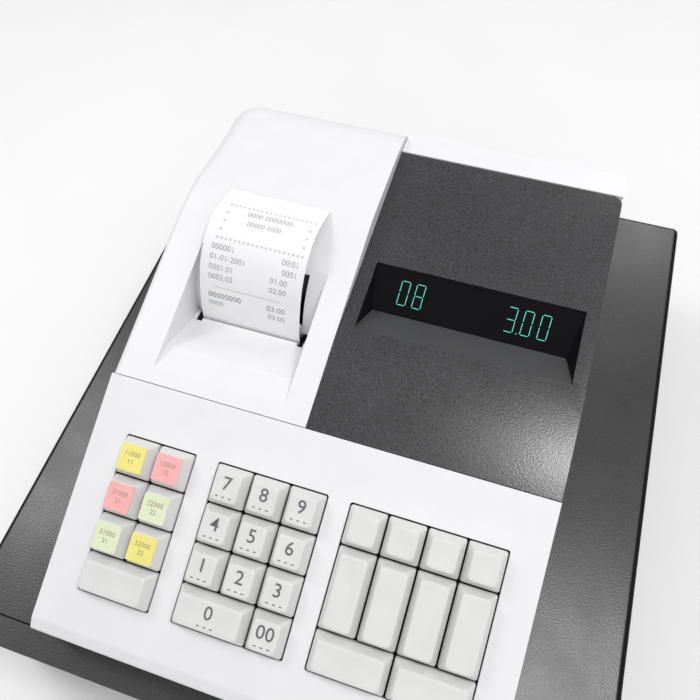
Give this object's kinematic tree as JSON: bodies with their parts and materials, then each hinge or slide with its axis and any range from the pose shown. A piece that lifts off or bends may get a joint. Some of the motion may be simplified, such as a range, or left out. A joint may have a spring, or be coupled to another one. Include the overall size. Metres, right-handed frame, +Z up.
{
  "type": "cash register",
  "caption": "Compact cash register with a tilted keyboard, receipt printer under a hinged cover, display and sliding cash drawer.",
  "frame": {"origin": "centre of the bounding box's bottom face, on the surface that the feet stand on", "axes": "+X to the operator's right, +Y to the back, +Z up"},
  "size_m": [0.344, 0.383, 0.2015],
  "materials": {
    "painted_steel": "fine textured powder coat",
    "rubber": "matte",
    "zinc": "satin",
    "chrome": "polished",
    "till_plastic": "fine grain",
    "case_plastic": "fine matte grain",
    "charcoal_plastic": "textured",
    "window": "smooth smoked",
    "circuit_board": "solder mask",
    "paper": "thermal paper",
    "key_plastic": "satin",
    "key_yellow": "satin",
    "key_red": "satin",
    "key_green": "satin"
  },
  "bodies": {
    "register": {"drawer_housing": "painted_steel", "rubber_feet": "rubber", "drawer_rails": "zinc", "drawer_latch": "zinc", "base_case": "case_plastic", "keyboard_panel": "case_plastic", "rear_case": "case_plastic", "display_panel": "charcoal_plastic", "display_window": "window", "display_module": "circuit_board", "printer_frame": "till_plastic", "print_head": "zinc", "main_board": "circuit_board", "keyboard_board": "circuit_board", "key_guide": "till_plastic", "power_supply": "case_plastic", "rear_sockets": "till_plastic", "case_screws": "zinc"},
    "drawer": {"drawer_tray": "zinc", "drawer_front": "painted_steel", "cash_till": "till_plastic"},
    "drawer_lock": {"drawer_lock": "chrome"},
    "note_clip_1": {"note_clip_1": "till_plastic"},
    "note_clip_2": {"note_clip_2": "till_plastic"},
    "note_clip_3": {"note_clip_3": "till_plastic"},
    "note_clip_4": {"note_clip_4": "till_plastic"},
    "printer_cover": {"printer_cover": "case_plastic", "tear_bar": "zinc", "receipt_paper": "paper"},
    "platen": {"platen_shaft": "zinc", "platen_roller": "rubber"},
    "paper_roll": {"paper_roll": "paper"},
    "key_l11": {"key_l11": "key_yellow"},
    "key_l12": {"key_l12": "key_red"},
    "key_l21": {"key_l21": "key_red"},
    "key_l22": {"key_l22": "key_green"},
    "key_l31": {"key_l31": "key_green"},
    "key_l32": {"key_l32": "key_yellow"},
    "key_l41": {"key_l41": "key_plastic"},
    "key_p11": {"key_p11": "key_plastic"},
    "key_p12": {"key_p12": "key_plastic"},
    "key_p13": {"key_p13": "key_plastic"},
    "key_p21": {"key_p21": "key_plastic"},
    "key_p22": {"key_p22": "key_plastic"},
    "key_p23": {"key_p23": "key_plastic"},
    "key_p31": {"key_p31": "key_plastic"},
    "key_p32": {"key_p32": "key_plastic"},
    "key_p33": {"key_p33": "key_plastic"},
    "key_p41": {"key_p41": "key_plastic"},
    "key_p42": {"key_p42": "key_plastic"},
    "key_r11": {"key_r11": "key_plastic"},
    "key_r12": {"key_r12": "key_plastic"},
    "key_r13": {"key_r13": "key_plastic"},
    "key_r14": {"key_r14": "key_plastic"},
    "key_r21": {"key_r21": "key_plastic"},
    "key_r22": {"key_r22": "key_plastic"},
    "key_r23": {"key_r23": "key_plastic"},
    "key_r24": {"key_r24": "key_plastic"},
    "key_r41": {"key_r41": "key_plastic"},
    "key_r42": {"key_r42": "key_plastic"}
  },
  "joints": [
    {"name": "drawer_slide", "type": "slide", "parent": "register", "child": "drawer", "axis": [0, -1, 0], "range_m": [0, 0.26]},
    {"name": "lock_turn", "type": "hinge", "parent": "drawer", "child": "drawer_lock", "pos_m": [0, -0.1835, 0.073], "axis": [0, -1, 0], "range_deg": [0, 90]},
    {"name": "note_clip_1_lift", "type": "hinge", "parent": "drawer", "child": "note_clip_1", "pos_m": [0, 0.128, 0.0562], "axis": [-1, 0, 0], "range_deg": [0, 40], "stiffness_Nm_per_rad": 0.05, "springref_deg": -34.38},
    {"name": "note_clip_2_lift", "type": "hinge", "parent": "drawer", "child": "note_clip_2", "pos_m": [0, 0.128, 0.0562], "axis": [-1, 0, 0], "range_deg": [0, 40], "stiffness_Nm_per_rad": 0.05, "springref_deg": -34.38},
    {"name": "note_clip_3_lift", "type": "hinge", "parent": "drawer", "child": "note_clip_3", "pos_m": [0, 0.128, 0.0562], "axis": [-1, 0, 0], "range_deg": [0, 40], "stiffness_Nm_per_rad": 0.05, "springref_deg": -34.38},
    {"name": "note_clip_4_lift", "type": "hinge", "parent": "drawer", "child": "note_clip_4", "pos_m": [0, 0.128, 0.0562], "axis": [-1, 0, 0], "range_deg": [0, 40], "stiffness_Nm_per_rad": 0.05, "springref_deg": -34.38},
    {"name": "cover_hinge", "type": "hinge", "parent": "register", "child": "printer_cover", "pos_m": [-0.0015, 0.13025, 0.171], "axis": [-1, 0, 0], "range_deg": [0, 75]},
    {"name": "platen_spin", "type": "hinge", "parent": "printer_cover", "child": "platen", "pos_m": [-0.0015, 0.004, 0.142], "axis": [1, 0, 0], "continuous": true},
    {"name": "roll_spin", "type": "hinge", "parent": "register", "child": "paper_roll", "pos_m": [-0.0015, 0.062, 0.137], "axis": [1, 0, 0], "continuous": true},
    {"name": "key_l11_press", "type": "slide", "parent": "register", "child": "key_l11", "axis": [0, 0.3486, -0.9373], "range_m": [0, 0.003], "stiffness_N_per_m": 150, "springref_m": -0.002},
    {"name": "key_l12_press", "type": "slide", "parent": "register", "child": "key_l12", "axis": [0, 0.3486, -0.9373], "range_m": [0, 0.003], "stiffness_N_per_m": 150, "springref_m": -0.002},
    {"name": "key_l21_press", "type": "slide", "parent": "register", "child": "key_l21", "axis": [0, 0.3486, -0.9373], "range_m": [0, 0.003], "stiffness_N_per_m": 150, "springref_m": -0.002},
    {"name": "key_l22_press", "type": "slide", "parent": "register", "child": "key_l22", "axis": [0, 0.3486, -0.9373], "range_m": [0, 0.003], "stiffness_N_per_m": 150, "springref_m": -0.002},
    {"name": "key_l31_press", "type": "slide", "parent": "register", "child": "key_l31", "axis": [0, 0.3486, -0.9373], "range_m": [0, 0.003], "stiffness_N_per_m": 150, "springref_m": -0.002},
    {"name": "key_l32_press", "type": "slide", "parent": "register", "child": "key_l32", "axis": [0, 0.3486, -0.9373], "range_m": [0, 0.003], "stiffness_N_per_m": 150, "springref_m": -0.002},
    {"name": "key_l41_press", "type": "slide", "parent": "register", "child": "key_l41", "axis": [0, 0.3486, -0.9373], "range_m": [0, 0.003], "stiffness_N_per_m": 150, "springref_m": -0.002},
    {"name": "key_p11_press", "type": "slide", "parent": "register", "child": "key_p11", "axis": [0, 0.3486, -0.9373], "range_m": [0, 0.003], "stiffness_N_per_m": 150, "springref_m": -0.002},
    {"name": "key_p12_press", "type": "slide", "parent": "register", "child": "key_p12", "axis": [0, 0.3486, -0.9373], "range_m": [0, 0.003], "stiffness_N_per_m": 150, "springref_m": -0.002},
    {"name": "key_p13_press", "type": "slide", "parent": "register", "child": "key_p13", "axis": [0, 0.3486, -0.9373], "range_m": [0, 0.003], "stiffness_N_per_m": 150, "springref_m": -0.002},
    {"name": "key_p21_press", "type": "slide", "parent": "register", "child": "key_p21", "axis": [0, 0.3486, -0.9373], "range_m": [0, 0.003], "stiffness_N_per_m": 150, "springref_m": -0.002},
    {"name": "key_p22_press", "type": "slide", "parent": "register", "child": "key_p22", "axis": [0, 0.3486, -0.9373], "range_m": [0, 0.003], "stiffness_N_per_m": 150, "springref_m": -0.002},
    {"name": "key_p23_press", "type": "slide", "parent": "register", "child": "key_p23", "axis": [0, 0.3486, -0.9373], "range_m": [0, 0.003], "stiffness_N_per_m": 150, "springref_m": -0.002},
    {"name": "key_p31_press", "type": "slide", "parent": "register", "child": "key_p31", "axis": [0, 0.3486, -0.9373], "range_m": [0, 0.003], "stiffness_N_per_m": 150, "springref_m": -0.002},
    {"name": "key_p32_press", "type": "slide", "parent": "register", "child": "key_p32", "axis": [0, 0.3486, -0.9373], "range_m": [0, 0.003], "stiffness_N_per_m": 150, "springref_m": -0.002},
    {"name": "key_p33_press", "type": "slide", "parent": "register", "child": "key_p33", "axis": [0, 0.3486, -0.9373], "range_m": [0, 0.003], "stiffness_N_per_m": 150, "springref_m": -0.002},
    {"name": "key_p41_press", "type": "slide", "parent": "register", "child": "key_p41", "axis": [0, 0.3486, -0.9373], "range_m": [0, 0.003], "stiffness_N_per_m": 150, "springref_m": -0.002},
    {"name": "key_p42_press", "type": "slide", "parent": "register", "child": "key_p42", "axis": [0, 0.3486, -0.9373], "range_m": [0, 0.003], "stiffness_N_per_m": 150, "springref_m": -0.002},
    {"name": "key_r11_press", "type": "slide", "parent": "register", "child": "key_r11", "axis": [0, 0.3486, -0.9373], "range_m": [0, 0.003], "stiffness_N_per_m": 150, "springref_m": -0.002},
    {"name": "key_r12_press", "type": "slide", "parent": "register", "child": "key_r12", "axis": [0, 0.3486, -0.9373], "range_m": [0, 0.003], "stiffness_N_per_m": 150, "springref_m": -0.002},
    {"name": "key_r13_press", "type": "slide", "parent": "register", "child": "key_r13", "axis": [0, 0.3486, -0.9373], "range_m": [0, 0.003], "stiffness_N_per_m": 150, "springref_m": -0.002},
    {"name": "key_r14_press", "type": "slide", "parent": "register", "child": "key_r14", "axis": [0, 0.3486, -0.9373], "range_m": [0, 0.003], "stiffness_N_per_m": 150, "springref_m": -0.002},
    {"name": "key_r21_press", "type": "slide", "parent": "register", "child": "key_r21", "axis": [0, 0.3486, -0.9373], "range_m": [0, 0.003], "stiffness_N_per_m": 150, "springref_m": -0.002},
    {"name": "key_r22_press", "type": "slide", "parent": "register", "child": "key_r22", "axis": [0, 0.3486, -0.9373], "range_m": [0, 0.003], "stiffness_N_per_m": 150, "springref_m": -0.002},
    {"name": "key_r23_press", "type": "slide", "parent": "register", "child": "key_r23", "axis": [0, 0.3486, -0.9373], "range_m": [0, 0.003], "stiffness_N_per_m": 150, "springref_m": -0.002},
    {"name": "key_r24_press", "type": "slide", "parent": "register", "child": "key_r24", "axis": [0, 0.3486, -0.9373], "range_m": [0, 0.003], "stiffness_N_per_m": 150, "springref_m": -0.002},
    {"name": "key_r41_press", "type": "slide", "parent": "register", "child": "key_r41", "axis": [0, 0.3486, -0.9373], "range_m": [0, 0.003], "stiffness_N_per_m": 150, "springref_m": -0.002},
    {"name": "key_r42_press", "type": "slide", "parent": "register", "child": "key_r42", "axis": [0, 0.3486, -0.9373], "range_m": [0, 0.003], "stiffness_N_per_m": 150, "springref_m": -0.002}
  ],
  "couplings": [
    {"joint": "platen_spin", "follows": "roll_spin", "ratio": 4.3333}
  ]
}
